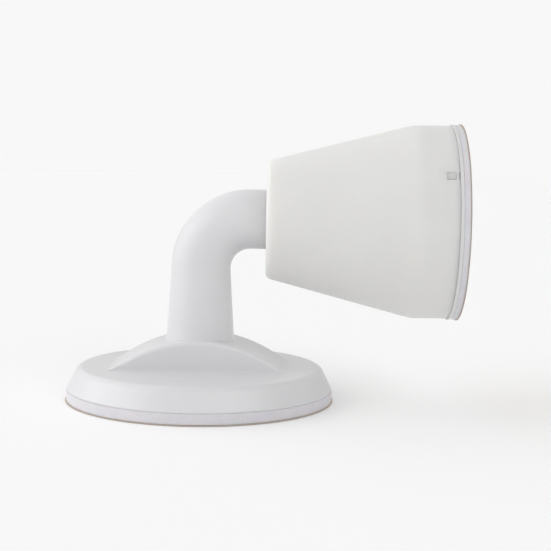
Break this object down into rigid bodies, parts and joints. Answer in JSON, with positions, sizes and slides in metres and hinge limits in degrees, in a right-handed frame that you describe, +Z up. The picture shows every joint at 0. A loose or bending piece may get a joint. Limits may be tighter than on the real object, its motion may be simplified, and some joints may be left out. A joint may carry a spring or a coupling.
{
  "type": "stick-on door stop",
  "caption": "Stick-on door stop: a round foot with a bent round arm, whose magnetic tip plugs into a pull-off conical catch head.",
  "frame": {"origin": "centre of the foot's underside, where the foot's release liner lies on the floor", "axes": "+X from the foot along the arm's tip towards the head's sticky back, +Z up"},
  "size_m": [0.1015, 0.0698, 0.0727],
  "materials": {
    "foot_plastic": "satin white ABS",
    "arm_plastic": "satin white ABS",
    "inner_plastic": "as-moulded white ABS",
    "head_silicone": "matt, slightly translucent warm white silicone",
    "pad_silicone": "matt white silicone",
    "foam": "closed-cell white foam tape",
    "liner_paper": "glassine-coated kraft paper",
    "zinc_steel": "zinc plated",
    "nickel": "nickel plated"
  },
  "bodies": {
    "foot": {"foot_release_liner": "liner_paper", "foot_foam_tape": "foam", "foot_plate": "inner_plastic", "foot_plate_screws": "zinc_steel", "foot_shell": "foot_plastic", "arm": "arm_plastic", "arm_bolt": "zinc_steel", "arm_washer": "zinc_steel", "magnet_cup": "zinc_steel", "ring_magnet": "nickel", "magnet_screw": "zinc_steel", "tip_pad": "pad_silicone"},
    "ring": {"grip_ring": "pad_silicone"},
    "head": {"strike_plate": "zinc_steel", "strike_pin": "nickel", "strike_clip": "zinc_steel", "strike_buffer": "pad_silicone", "head_skirt": "head_silicone", "head_core": "inner_plastic", "head_core_screws": "zinc_steel", "head_back_cap": "inner_plastic", "head_foam_tape": "foam", "head_release_liner": "liner_paper"}
  },
  "joints": [
    {"name": "head_turn", "type": "hinge", "parent": "foot", "child": "ring", "pos_m": [0.0251, 0, 0.04735], "axis": [1, 0, 0], "continuous": true},
    {"name": "head_pull", "type": "slide", "parent": "ring", "child": "head", "axis": [1, 0, 0], "range_m": [0, 0.04]}
  ]
}
